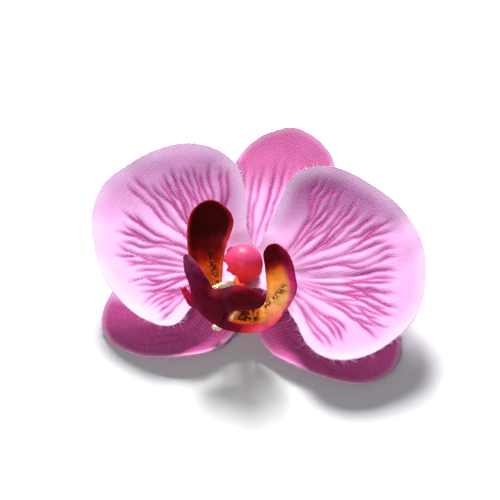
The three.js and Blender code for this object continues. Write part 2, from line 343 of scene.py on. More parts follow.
def fan_vein(base, axis, angle, reach, span, seed, fork=None):
    """One vein of a petal's fan, from share span[0] to span[1] of the way to the rim."""
    line, strength = [], []
    for s in np.linspace(span[0], span[1], 70):
        spread = 0.62 + 0.38 * s**0.7
        turn = axis + (angle - axis) * spread
        turn += 0.075 * wander(seed, s, 4.5) * (0.4 + 0.6 * s)
        turn += 0.012 * wander(seed + 40, s, 16)
        if fork:
            turn += fork[1] * smoothstep(fork[0], fork[0] + 0.22, s)
        line.append(base + reach * s * np.array([math.cos(turn), math.sin(turn)]))
        starts = 1 if fork else smoothstep(0.12, 0.38, s)
        ends = 1 - smoothstep(span[1] - 0.12, span[1], s)
        strength.append(starts * ends * (0.9 + 0.5 * wander(seed + 9, s, 8)))
    return line, strength


def petal_fan(veins, rim, base, axis_degrees, from_degrees, to_degrees, count, rng):
    """The veins of one petal: a fan from its claw, most of them forked once or twice."""
    base = np.array(base, float)
    away = rim - base
    rim_angles = np.arctan2(away[:, 1], away[:, 0])
    rim_reach = np.linalg.norm(away, axis=1)
    axis = math.radians(axis_degrees)
    step = math.radians(to_degrees - from_degrees) / count

    def reach_at(angle):
        off = np.angle(np.exp(1j * (rim_angles - angle)))
        return rim_reach[np.abs(off).argmin()]

    for i in range(count):
        angle = math.radians(from_degrees) + step * (i + 0.5 + 0.22 * rng.gauss(0, 1))
        reach = reach_at(angle)
        end = rng.uniform(0.84, 0.94)
        seed = rng.uniform(0, 900)
        veins.add(*fan_vein(base, axis, angle, reach, (0.1, end), seed))
        side = rng.choice([-1, 1])
        for turn in range(rng.choice([1, 2, 2])):
            start = rng.uniform(0.34, 0.5) + 0.16 * turn
            until = min(end + rng.uniform(-0.08, 0.04), 0.94)
            fork = (start, side * step * rng.uniform(0.42, 0.6))
            veins.add(*fan_vein(base, axis, angle, reach, (start, until), seed, fork))
            side = -side


def lobe_veins(veins, start, tip, widths, count, strength, rng):
    """Lengthwise veins of a sepal that follow its width along its axis."""
    start, tip = np.array(start, float), np.array(tip, float)
    along = tip - start
    across = np.array([-along[1], along[0]]) / np.linalg.norm(along)
    stations = np.linspace(0, 1, len(widths))
    for i in range(count):
        share = (i + 0.5 + 0.15 * rng.gauss(0, 1)) / count * 2 - 1
        seed = rng.uniform(0, 900)
        end = rng.uniform(0.72, 0.86)
        line, force = [], []
        for s in np.linspace(0.08, end, 80):
            wide = np.interp(s, stations, widths)
            offset = share * wide + 0.9 * wander(seed, s, 5) + 0.25 * wander(seed + 3, s, 16)
            line.append(start + along * s + across * offset)
            fade = smoothstep(0.08, 0.25, s) * (1 - smoothstep(end - 0.2, end, s))
            force.append(strength * fade * (0.8 + 0.4 * wander(seed + 5, s, 7)))
        veins.add(line, force)


# ---------------------------------------------------------------- materials
def new_material(name):
    made = bpy.data.materials.new(name)
    made.use_nodes = True
    made.node_tree.nodes.clear()
    return made, made.node_tree


def add_node(tree, kind, inputs=None, **settings):
    """Adds a node, with its settings, and its inputs as values or links."""
    made = tree.nodes.new(kind)
    for key, value in settings.items():
        setattr(made, key, value)
    for socket, value in (inputs or {}).items():
        if isinstance(value, bpy.types.NodeSocket):
            tree.links.new(value, made.inputs[socket])
        else:
            made.inputs[socket].default_value = value
    return made


def math_node(tree, operation, *values, clamp=False):
    made = add_node(tree, "ShaderNodeMath", dict(enumerate(values)), operation=operation, use_clamp=clamp)
    return made.outputs[0]


def blend_colours(tree, share, first, second):
    made = add_node(tree, "ShaderNodeMix", {0: share, 6: first, 7: second}, data_type="RGBA")
    return made.outputs[2]


def ramp(tree, value, low, high, first=0.0, second=1.0):
    made = add_node(
        tree, "ShaderNodeMapRange", {0: value, 1: low, 2: high, 3: first, 4: second},
        interpolation_type="SMOOTHSTEP",
    )
    return made.outputs[0]


def own_place(tree):
    return add_node(tree, "ShaderNodeTexCoord").outputs["Object"]


def noise(tree, place, scale, detail):
    made = add_node(tree, "ShaderNodeTexNoise", {"Vector": place, "Scale": scale, "Detail": detail})
    return made.outputs[0]


def attribute(tree, name):
    return add_node(tree, "ShaderNodeAttribute", attribute_name=name).outputs["Fac"]


def weave(tree, thread, turn):
    """Plain weave in the cloth's own UVs: the domes of the crossings, and which thread is on top."""
    uv = add_node(tree, "ShaderNodeUVMap", uv_map="Cloth").outputs[0]
    turned = add_node(
        tree, "ShaderNodeMapping",
        {0: uv, 2: (0, 0, turn), 3: (math.pi / thread, math.pi / thread, 1)},
    )
    parts = add_node(tree, "ShaderNodeSeparateXYZ", {0: turned.outputs[0]})
    warp = math_node(tree, "SINE", parts.outputs[0])
    weft = math_node(tree, "SINE", parts.outputs[1])
    over = math_node(tree, "MULTIPLY", warp, weft)
    dome = math_node(tree, "ABSOLUTE", over)
    return dome, over


# How far the threads lie turned against the layer, and the light that passes through them
WEAVE_TURN = math.radians(9)
LIGHT_THROUGH_CLOTH = 0.24


def petal_cloth(name, colours, deep, thread, rim_width, rim_share):
    """Plain-woven polyester, dyed by print and heat pressed: a soft nap with pale cut edges."""
    made, tree = new_material(name)
    place = own_place(tree)
    cloud = noise(tree, place, 330.0, 4.0)
    speck = noise(tree, place, 2400.0, 2.0)
    line = tuple(colours.petal_vein)
    from_heart = ramp(tree, attribute(tree, "along"), 0.2, 0.45)
    ground = blend_colours(tree, from_heart, tuple(colours.petal_heart), tuple(colours.petal))
    halo = math_node(tree, "MULTIPLY", attribute(tree, "halo"), ramp(tree, cloud, 0.3, 0.7, 0.1, 0.38))
    ground = blend_colours(tree, halo, ground, line)
    # Deeper print, partly painted shade, where the layer's tone mask asks for it
    ground = blend_colours(tree, attribute(tree, "deep_print_and_shade"), ground, deep)
    # The line of print breaks up a little between the threads
    broken = ramp(tree, speck, 0.3, 0.65, 0.9, 1.35)
    printed = math_node(tree, "MULTIPLY", attribute(tree, "vein"), broken, clamp=True)
    ground = blend_colours(tree, printed, ground, line)
    rim = ramp(tree, attribute(tree, "rim"), 0.1 * MM, rim_width, rim_share, 0.0)
    ground = blend_colours(tree, rim, ground, tuple(colours.petal_rim))
    dome, over = weave(tree, thread, WEAVE_TURN)
    # Pale fuzz stands up from the threads that lie on top
    raised = ramp(tree, over, -1.0, 1.0, 0.0, 0.13)
    nap = math_node(tree, "MULTIPLY", raised, ramp(tree, speck, 0.35, 0.65, 0.4, 1.4))
    woven = blend_colours(tree, nap, ground, (1.0, 1.0, 1.0, 1.0))
    bump = add_node(tree, "ShaderNodeBump", {"Height": dome, "Strength": 0.42, "Distance": 0.11 * MM})
    shader = add_node(tree, "ShaderNodeBsdfPrincipled", {
        "Base Color": woven, "Normal": bump.outputs[0], "Roughness": 0.85,
        "Sheen Weight": 0.12, "Sheen Roughness": 0.5, "Specular IOR Level": 0.2,
    })
    thin = add_node(tree, "ShaderNodeBsdfTranslucent", {"Color": woven, "Normal": bump.outputs[0]})
    both = add_node(
        tree, "ShaderNodeMixShader",
        {0: LIGHT_THROUGH_CLOTH, 1: shader.outputs[0], 2: thin.outputs[0]},
    )
    add_node(tree, "ShaderNodeOutputMaterial", {0: both.outputs[0]})
    return made


def plain_surface(name, colour, roughness):
    """An even colour with fine grain: moulded plastic, or plain cloth seen from afar when matt."""
    made, tree = new_material(name)
    grain = noise(tree, own_place(tree), 2500.0, 2.0)
    bump = add_node(tree, "ShaderNodeBump", {"Height": grain, "Strength": 0.1, "Distance": 0.05 * MM})
    shader = add_node(tree, "ShaderNodeBsdfPrincipled", {
        "Base Color": colour, "Normal": bump.outputs[0], "Roughness": roughness,
    })
    add_node(tree, "ShaderNodeOutputMaterial", {0: shader.outputs[0]})
    return made


# ---------------------------------------------------------------- cloth layers
def fray_mesh(name, top, rim_count, length, count, rng):
    """Loose thread ends along a cut edge: short tapered fibres of three sides."""
    rim = top[:rim_count]
    along = np.roll(rim, -1, axis=0) - np.roll(rim, 1, axis=0)
    along /= np.linalg.norm(along, axis=1, keepdims=True)
    outward = np.column_stack([along[:, 1], -along[:, 0], np.zeros(rim_count)])
    points, faces = [], []
    for _ in range(count):
        i = rng.randrange(rim_count)
        here = Vector(rim[i]) - Vector((0, 0, rng.uniform(0, 0.3)))
        out = Vector(outward[i])
        aim = out + Vector(along[i]) * rng.gauss(0, 0.7) + Vector((0, 0, rng.gauss(0, 0.45)))
        aim.normalize()
        curl = Vector([rng.gauss(0, 0.5) for _ in range(3)])
        long = length * min(rng.expovariate(1.6) + 0.2, 2.6)
        side = aim.orthogonal().normalized()
        other = aim.cross(side)
        first = len(points)
        for step in range(4):
            s = step / 3
            centre = here - out * 0.12 + (aim * s + curl * s * s * 0.5) * long
            thick = FIBRE_RADIUS * (1 - 0.8 * s)
            for turn in (0, 120, 240):
                a = math.radians(turn)
                points.append(centre + side * math.cos(a) * thick + other * math.sin(a) * thick)
        faces.append((first + 2, first + 1, first))
        for step in range(3):
            for turn in range(3):
                a = first + 3 * step + turn
                b = first + 3 * step + (turn + 1) % 3
                faces.append((a, b, b + 3, a + 3))
        faces.append((first + 9, first + 10, first + 11))
    return mesh_object(name, np.array(points), faces)


def cloth_layer(name, outline, height, veins, sizes, rng, deep_print_and_shade, extra=None):
    """One die-cut layer as a pressed sheet: grooves along the veins, puffed cloth between them.

    height gives the layer's form, the tone mask how far deeper print and painted shade darken it, and
    extra any further relief.
    """
    edge = spline(outline, EDGE_STEP, closed=True)
    rim = ragged(edge, np.random.default_rng(SEED), EDGE_WANDER)
    flat, triangles = cut_cloth(rim, sizes.grain / MM)
    rim_count = len(rim)
    rim_away, _ = nearest(flat, rim)
    width = sizes.vein_width / MM
    vein = veins.measure(flat, width)
    halo = veins.measure(flat, 2.3 * width)
    x, y = flat[:, 0], flat[:, 1]
    z = height(x, y) - sizes.vein_depth / MM * (vein + halo)
    reach = np.hypot(x, y)
    crumple = np.array([
        mnoise.noise(Vector((a * CRUMPLE_SCALE, b * CRUMPLE_SCALE, 3.7))) for a, b in flat
    ])
    z += CRUMPLE_DEPTH * crumple * smoothstep(5, 14, reach)
    if extra:
        z += extra(x, y)
    along = reach / (reach + rim_away)
    values = {
        "rim": rim_away * MM,
        "vein": np.clip(vein, 0, 1),
        "halo": np.clip(halo, 0, 1),
        "along": along,
        "deep_print_and_shade": deep_print_and_shade(x, y, along),
    }
    top = np.column_stack([x, y, z])
    piece = thick_cloth(name, top, triangles, rim_count, sizes.cloth / MM, values, flat)
    ends = int(rim_count * FRAY_DENSITY)
    fray = fray_mesh(f"{name}_fray", top, rim_count, sizes.fray / MM, ends, rng)
    return piece, fray


def orchid(context):
    return context.scene.orchid_sizes, context.scene.orchid_colours


class ORCHID_OT_petals(bpy.types.Operator):
    """Makes the petal layer, two wide lobes joined above the column, and its frayed edge"""

    bl_idname = "orchid.petals"
    bl_label = "Petals"

    def execute(self, context):
        sizes, colours = orchid(context)
        rng = random.Random(SEED)
        rim = spline(PETAL_OUTLINE, EDGE_STEP, closed=True)
        veins = Veins()
        petal_fan(veins, rim, (-3.5, 1), 166, 98, 232, 15, rng)
        petal_fan(veins, rim, (4, 1), 3, -60, 68, 15, rng)

        def crease(x, y):
            along = smoothstep(6, 16, x) * (1 - smoothstep(26, 38, x))
            return -0.55 * along * np.exp(-(((y - 1.2 - 0.03 * x) / 1.1) ** 2))

        # Deeper colour on the upper part of both petals and the outer part of the right one: partly
        # print, partly painted shade where these parts turn away from the light
        def deep_print_and_shade(x, y, along):
            upper = smoothstep(6, 22, y) * smoothstep(0.5, 0.8, along)
            outer = smoothstep(0.55, 0.95, along)
            return np.where(x > 0, np.maximum(upper * 0.95, outer * 0.3), upper * 0.55)

        piece, fray = cloth_layer(
            "petal_cloth", PETAL_OUTLINE, petal_height, veins, sizes, rng, deep_print_and_shade, crease
        )
        # The deep colour blended in by the tone mask is partly print, partly painted shade
        cloth = petal_cloth(
            "printed_polyester_petal", colours, linear("#98408a"), sizes.thread, 4 * MM, 0.5
        )
        dress([piece, fray], cloth)
        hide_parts("petal_layer")
        return {"FINISHED"}


class ORCHID_OT_sepals(bpy.types.Operator):
    """Makes the sepal layer, three lobes under the petals, and its frayed edge"""

    bl_idname = "orchid.sepals"
    bl_label = "Sepals"

    def execute(self, context):
        sizes, colours = orchid(context)
        rng = random.Random(SEED + 1)
        veins = Veins()
        lobe_veins(veins, (0.5, 3.5), (8.2, 39.4), (3, 6, 9.5, 12, 12.5, 11), 10, 1.0, rng)
        lobe_veins(veins, (-4, -2), (-36.5, -7), (3, 6, 9, 11, 11, 8), 8, 0.6, rng)
        lobe_veins(veins, (4, -3), (39.5, -13), (3, 6, 9, 11, 11, 8), 8, 0.6, rng)

        # Deeper magenta print on the lower sepals and on the upper sepal's tip; on the tip it is partly
        # painted shade of its forward curl
        def deep_print_and_shade(x, y, along):
            upper = smoothstep(22, 31, y) * 0.75
            lower = smoothstep(0, -4, y) * smoothstep(0.1, 0.4, along)
            return np.maximum(upper, 0.9 * lower)

        piece, fray = cloth_layer("sepal_cloth", SEPAL_OUTLINE, sepal_height, veins, sizes, rng, deep_print_and_shade)
        cloth = petal_cloth(
            "printed_polyester_sepal", colours, tuple(colours.sepal), sizes.thread, 1.6 * MM, 0.45
        )
        dress([piece, fray], cloth)
        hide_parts("sepal_layer")
        return {"FINISHED"}


# ---------------------------------------------------------------- lip
# Bent strips of the lip, in rows across the strip: one edge, the middle, the other edge
LEFT_LOBE = [
    [(-8.4, -8.6, 13.8), (-6.6, -8, 13.6), (-4.8, -6.8, 13.8)],
    [(-9.7, -7.6, 15), (-7.8, -7.2, 15.4), (-6.2, -6.6, 15.9)],
    [(-12.1, -6.2, 19.2), (-9.3, -4.8, 18.2), (-6.5, -5.4, 20)],
    [(-14.5, -3.8, 21.6), (-10.8, -1.4, 20.5), (-6.5, -3.2, 22.6)],
    [(-15.4, -1.2, 24.8), (-11.6, 1.2, 23.3), (-6, -1.4, 25.7)],
    [(-15.7, 1.8, 27.5), (-11.2, 4.2, 26.2), (-5.1, 0.8, 27.7)],
    [(-15.2, 4.4, 29.2), (-11.2, 6.2, 28.6), (-4.8, 3, 29.7)],
    [(-13.4, 6.2, 30.9), (-10.6, 7.2, 30.9), (-6.4, 5, 31.3)],
    [(-11.8, 7, 31.4), (-10.4, 7.4, 31.5), (-8.6, 6.6, 31.7)],
]
RIGHT_LOBE = [
    [(3, -12, 6.4), (6.6, -12, 8.8), (8.9, -11, 12.9)],
    [(3.9, -10, 9.9), (6.9, -9.8, 12.8), (10.7, -9.6, 15.3)],
    [(4.6, -8, 13.8), (7.6, -7.2, 16.2), (11.8, -8, 18.4)],
    [(4.4, -6, 17.4), (7, -4.6, 19.1), (11.1, -6.6, 21.9)],
    [(3.7, -3.2, 20.8), (6.1, -1.8, 21), (10, -4.6, 24.6)],
    [(3.1, -1.4, 23.1), (5.4, -0.6, 23.9), (8.3, -2.8, 26.5)],
    [(3.8, -0.4, 25), (5.4, -0.2, 25.8), (6.8, -1.2, 26.5)],
]
THROAT = [
    [(-3.2, 2.6, 14.4), (0, 2.6, 14.4), (3.2, 2.6, 14.4)],
    [(-3.6, -2.5, 14.5), (-1.2, -2.5, 14.4), (1.3, -2.5, 14.5)],
    [(-5.6, -6, 14.1), (-4.2, -6.2, 13.6), (-2.7, -6, 14)],
    [(-8.4, -9.2, 13.8), (-6, -9.8, 12.8), (-3, -9.4, 12.8)],
    [(-7.8, -11.8, 11), (-5.4, -12, 10.2), (-2.6, -11.6, 9.4)],
]
FLOOR = [
    [(-7.6, -13, 9.1), (-6.8, -12, 11.5), (-6, -10, 12.6)],
    [(-5.1, -13.4, 7.9), (-4.1, -12.2, 11.3), (-3.8, -9.6, 12.8)],
    [(-2.1, -13.6, 7.4), (-1.4, -12, 10.2), (-1.4, -9, 12.3)],
    [(0.6, -13.4, 7.1), (1.1, -11.8, 9.9), (1, -8.6, 12.1)],
    [(3.3, -12.8, 7), (3.7, -11.2, 10.2), (3.7, -8, 12.5)],
    [(5.6, -11.8, 7.7), (6.1, -10.2, 10.8), (5.6, -7.6, 13)],
]
MIDDLE_LOBE = [
    [(-15.9, -6.5, 25.5), (-15.5, -6.1, 26.1), (-14.8, -5.6, 25.4)],
    [(-15.5, -8.2, 22.8), (-14.2, -7.8, 24), (-12.7, -6.9, 24)],
    [(-13.9, -10, 18.8), (-12.1, -9.9, 21.2), (-10.1, -8.6, 21.1)],
    [(-12.8, -11.6, 14.9), (-10.6, -11.9, 18.9), (-8.4, -9.4, 18.2)],
    [(-9.7, -12.6, 10.7), (-8.3, -13.3, 17.1), (-6.7, -10.2, 19.2)],
    [(-6.1, -13.2, 8.2), (-5.1, -14.2, 16.7), (-4.5, -10.6, 20.8)],
]
WING = [
    [(-6.1, -14, 14.8), (-5.6, -13.5, 18.4), (-5.2, -10.5, 20.2)],
    [(-3.4, -14.3, 16.2), (-3.1, -13.3, 20.4), (-2.9, -11, 22)],
    [(-1.3, -14, 16.5), (-0.8, -13.5, 20.6), (-0.5, -11.6, 22.6)],
    [(1.1, -13, 15.8), (1.6, -13, 19.7), (2, -12, 21.4)],
    [(3.1, -11.6, 15.1), (3.5, -11.8, 17.9), (3.9, -11.4, 19.3)],
    [(4, -11, 15.8), (4.3, -11, 17), (4.4, -10.8, 17.7)],
]
HORN = [
    [(-12, -11.8, 12.9), (-12.3, -11.6, 15.7), (-12.6, -11, 17.9)],
    [(-14, -11.4, 13.7), (-14, -11, 15.5), (-13.6, -10.6, 17.3)],
    [(-15.3, -10.8, 16.1), (-15, -10.6, 17), (-14.5, -10.2, 18)],
    [(-16.5, -10, 19), (-15.7, -10, 18.2), (-15.2, -9.8, 19)],
]


def strip_point(lines, u, v):
    a, b, c = (line.at(u) for line in lines)
    return a * v * (v - 1) / 2 + b * (1 - v * v) + c * v * (v + 1) / 2


class Line:
    """A smooth line that gives its point at a share of its length."""

    def __init__(self, points):
        self.points = spline(points, 0.2)
        steps = np.linalg.norm(np.diff(self.points, axis=0), axis=1)
        self.shares = np.concatenate([[0], np.cumsum(steps)]) / steps.sum()

    def at(self, share):
        return np.array([np.interp(share, self.shares, self.points[:, i]) for i in range(3)])


def strip_grid(rows, along, across):
    """A bent strip through rows of three points: a grid of points, and its (u, v) values."""
    lines = [Line([row[i] for row in rows]) for i in range(3)]
    places = [(u, v) for u in np.linspace(0, 1, along + 1) for v in np.linspace(-1, 1, across + 1)]
    return np.array([strip_point(lines, u, v) for u, v in places]), np.array(places)


def strip_solid(rows, along, across, thickness):
    points, places = strip_grid(rows, along, across)
    wide = across + 1
    quads = np.array([
        (i * wide + j, (i + 1) * wide + j, (i + 1) * wide + j + 1, i * wide + j + 1)
        for i in range(along) for j in range(across)
    ])
    triangles = np.vstack([quads[:, [0, 1, 2]], quads[:, [0, 2, 3]]])
    normals = vertex_normals(points, triangles)
    edge = list(range(wide))
    edge += [i * wide + across for i in range(1, along + 1)]
    edge += [along * wide + j for j in range(across - 1, -1, -1)]
    edge += [i * wide for i in range(along - 1, 0, -1)]
    count = len(points)
    both = np.vstack([points + normals * thickness / 2, points - normals * thickness / 2])
    faces = [tuple(q) for q in quads] + [tuple(q[::-1] + count) for q in quads]
    for a, b in zip(edge, edge[1:] + edge[:1]):
        faces.append((a, a + count, b + count, b))
    return both, faces, points, places


def mix(first, second, share):
    return first + (second - first) * np.asarray(share)[..., None]


INK = np.array(linear("#3a1206"))


def stops(values, places, colours):
    """Colours between named stops along one value."""
    table = np.array([linear(c) for c in colours])
    return np.column_stack([np.interp(values, places, table[:, i]) for i in range(4)])


def left_print(u, v, fleck):
    ground = stops(
        u, (0.1, 0.26, 0.4, 0.52, 0.66), ("#f08a24", "#e65c1c", "#a81c10", "#5c040a", "#3a0203")
    )
    rim = smoothstep(0.8, 1, np.maximum(np.abs(v), (u - 0.9) * 10))
    ground = mix(ground, stops(u, (0.2, 0.5, 0.8), ("#e0622a", "#b42a1c", "#94102a")), 0.8 * rim)
    stripe = np.exp(-(((v - 0.6 + 0.8 * u) / 0.36) ** 2)) * (1 - smoothstep(0.46, 0.58, u))
    return mix(ground, INK, stripe * smoothstep(0.28, 0.42, fleck))


def right_print_and_glow(u, v, fleck):
    # Orange inside and pink-red at the foot are print, brightened as painted glow of light shining
    # through the thin cloth
    ground = stops(
        u, (0.02, 0.12, 0.3, 0.6, 0.72), ("#f4446a", "#ff8464", "#ffbc6a", "#ff9a34", "#c02c1c")
    )
    flank = smoothstep(0.62 - 0.5 * u, 0.95 - 0.35 * u, v)
    ground = mix(ground, stops(u, (0.1, 0.5, 0.8), ("#e0508e", "#bc2470", "#8a0c38")), flank)
    top = stops(v, (-0.8, 0.3, 1), ("#5a040c", "#48040c", "#7c0c2c"))
    ground = mix(ground, top, smoothstep(0.64, 0.8, u))
    ground = mix(ground, np.array(linear("#8e0c3c")), 0.8 * smoothstep(0.86, 1, v))
    squiggle = np.exp(-(((u - 0.4 - 0.12 * v) / 0.055) ** 2)) * (1 - smoothstep(0.35, 0.6, v))
    return mix(ground, INK, squiggle * smoothstep(0.36, 0.5, fleck))


def floor_print_and_glow(u, v, fleck):
    # The pink-red towards the right end is print, brightened as painted glow of light shining through the
    # thin cloth
    ground = stops(u, (0.1, 0.45, 0.62, 0.85), ("#5c0426", "#74061e", "#e02c40", "#ff587a"))
    patch = smoothstep(0.17, 0.25, u) * smoothstep(-0.42, -0.12, v)
    ground = mix(ground, stops(v, (-0.3, -0.1, 0.5), ("#d42818", "#e0661a", "#c8641e")), patch)
    ground = mix(ground, np.array(linear("#f49a4c")), patch * smoothstep(0.74, 0.84, u))
    marks = patch * (1 - smoothstep(0.7, 0.8, u)) * smoothstep(-0.15, 0.05, v)
    ground = mix(ground, INK, 0.95 * marks * smoothstep(0.38, 0.52, fleck))
    off_edge = u - 0.25 - 0.12 * np.maximum(v - 0.1, 0)
    edge = np.exp(-((off_edge / 0.028) ** 2)) * smoothstep(-0.3, 0.0, v)
    return mix(ground, np.array(linear("#eccb96")), np.clip(1.2 * edge, 0, 1))


def middle_print_and_sheen(u, v, fleck):
    # The greyish purple towards the lobe's tip is painted sheen of light grazing the nap; the rest, lower
    # edge included, is burgundy print
    ground = stops(u, (0, 0.35, 0.6, 1), ("#743052", "#60082e", "#54021a", "#480210"))
    return mix(ground, np.array(linear("#6e0e34")), 0.7 * (1 - smoothstep(-1, -0.6, v)))


def wing_print(u, v, fleck):
    ground = stops(v, (-1, -0.5, 0.2, 1), ("#620216", "#3c0206", "#520212", "#820424"))
    return mix(ground, np.array(linear("#4c041a")), 1 - smoothstep(0.1, 0.3, u))


def horn_print(u, v, fleck):
    return stops(u, (0, 0.4, 1), ("#5e0c30", "#9c1038", "#b41440"))


def throat_print(u, v, fleck):
    return stops(u, (0, 0.4, 0.6, 0.75), ("#a0341c", "#a8481e", "#8c2416", "#54061c"))


# Each strip of the lip, its print, painted sheen and glow included, and how many points lie along and
# across it
LIP_STRIPS = (
    (THROAT, throat_print, 40, 24),
    (LEFT_LOBE, left_print, 110, 44),
    (RIGHT_LOBE, right_print_and_glow, 96, 40),
    (FLOOR, floor_print_and_glow, 60, 40),
    (MIDDLE_LOBE, middle_print_and_sheen, 90, 44),
    (WING, wing_print, 60, 40),
    (HORN, horn_print, 30, 20),
)
# Grain of the remeshed lip, fine enough to keep the cut edges crisp
LIP_VOXEL = 0.17


class ORCHID_OT_lip(bpy.types.Operator):
    """Makes the lip, two upright side lobes, the throat and the folded middle lobe"""

    bl_idname = "orchid.lip"
    bl_label = "Lip"

    def execute(self, context):
        sizes, _ = orchid(context)
        points, faces, skeleton, inks = [], [], [], []
        for rows, ink, along, across in LIP_STRIPS:
            shell, quads, middle, places = strip_solid(rows, along, across, sizes.cloth / MM)
            first = sum(len(p) for p in points)
            points.append(shell)
            faces.extend(tuple(i + first for i in q) for q in quads)
            fleck = np.array([
                0.5 + 0.7 * mnoise.noise(Vector(p) * 1.5) + 0.35 * mnoise.noise(Vector(p) * 3.4)
                for p in middle
            ])
            skeleton.append(middle)
            inks.append(ink(places[:, 0], places[:, 1], fleck))
        piece = mesh_object("lip_cloth", np.vstack(points), faces)
        select_only(piece)
        bpy.ops.object.modifier_add(type="REMESH")
        joined = piece.modifiers[-1]
        joined.mode = "VOXEL"
        joined.voxel_size = LIP_VOXEL * MM
        bpy.ops.object.modifier_apply(modifier=joined.name)
        self.print_lip(piece, np.vstack(skeleton), np.vstack(inks))
        finish_surface(piece, 60)
        dress([piece], lip_velvet())
        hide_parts("lip")
        return {"FINISHED"}

    def print_lip(self, piece, skeleton, inks):
        """Each point takes the print of the nearest point of the strips, with the painted sheen and
        painted glow that some strips carry.
        """
        tree = kdtree.KDTree(len(skeleton))
        for i, p in enumerate(skeleton):
            tree.insert(Vector(p) * MM, i)
        tree.balance()
        found = [tree.find(vertex.co)[1] for vertex in piece.data.vertices]
        # This colour holds the print, with painted sheen on the middle lobe and painted glow on the right
        # lobe and the lip's floor
        layer = piece.data.color_attributes.new("print", "FLOAT_COLOR", "POINT")
        layer.data.foreach_set("color", inks[found].astype(np.float32).ravel())


def lip_velvet():
    """Flocked polyester, printed: deep colour with a short nap that catches light at its edges."""
    made, tree = new_material("flocked_polyester_lip")
    # The print attribute carries painted sheen and painted glow on some strips
    ink = add_node(tree, "ShaderNodeAttribute", attribute_name="print").outputs["Color"]
    place = own_place(tree)
    # Nap of 0.3 mm tufts, as coarse as it needs to be to show
    nap = add_node(
        tree, "ShaderNodeTexNoise", {"Vector": place, "Scale": 3300.0, "Detail": 3.0, "Roughness": 0.65}
    ).outputs[0]
    cloud = noise(tree, place, 480.0, 2.0)
    worn = add_node(
        tree, "ShaderNodeHueSaturation",
        {"Color": ink, "Value": ramp(tree, cloud, 0.3, 0.7, 0.95, 1.45)},
    ).outputs[0]
    tufts = add_node(
        tree, "ShaderNodeHueSaturation", {"Color": worn, "Value": ramp(tree, nap, 0.3, 0.72, 0.7, 1.45)}
    ).outputs[0]
    bump = add_node(tree, "ShaderNodeBump", {"Height": nap, "Strength": 0.6, "Distance": 0.15 * MM})
    shader = add_node(tree, "ShaderNodeBsdfPrincipled", {
        "Base Color": tufts, "Normal": bump.outputs[0], "Roughness": 0.9,
        "Sheen Weight": 0.12, "Sheen Roughness": 0.35, "Sheen Tint": linear("#f06090"),
        "Specular IOR Level": 0.1,
    })
    add_node(tree, "ShaderNodeOutputMaterial", {0: shader.outputs[0]})
    return made


# ---------------------------------------------------------------- column and glue
HEAD_CENTRE = Vector((-1.6, -4.1, 22))
HEAD_RADIUS = 4.75
# Each dent or lobe of the knob's edge: right, up, half its length, pull outwards, reach
KNOB_DENTS = (
    (-2.9, -3.4, 2.8, -1.0, 1.9), (-4.5, -0.9, 2.2, -0.9, 0.8), (-1.8, -4.2, 2.2, -1.3, 0.9),
    (-4.7, 0.9, 1.2, 0.3, 1.4), (-3.5, 3.2, 0.2, 0.45, 0.4),
)
POST_RADIUS = 1.2
POST_LENGTH = 12
# Above the post, its collar and bent neck: how far each step goes, and how much it then grows
NECK_STEPS = (
    ((0, 0, 0.45), 1), ((0, 0, 0), 2.15), ((0, 0, 1), 1), ((0, 0, 0.35), 0.85),
    ((0, -0.05, 0), 0.72), ((0, -0.3, 1.2), 1), ((-0.3, -0.8, 1.2), 1),
    ((-0.4, -1, 1.2), 1.05), ((-0.5, -1.1, 1.2), 1.1),
)


def edit_near(piece, start, end, reach):
    """In edit mode, selects only the points of the active piece within reach of a straight line."""
    bpy.ops.mesh.select_all(action="DESELECT")
    bpy.ops.object.mode_set(mode="OBJECT")
    line = end - start
    for vertex in piece.data.vertices:
        share = min(max((vertex.co - start).dot(line) / line.dot(line), 0), 1)
        vertex.select = (vertex.co - start - line * share).length < reach
    bpy.ops.object.mode_set(mode="EDIT")


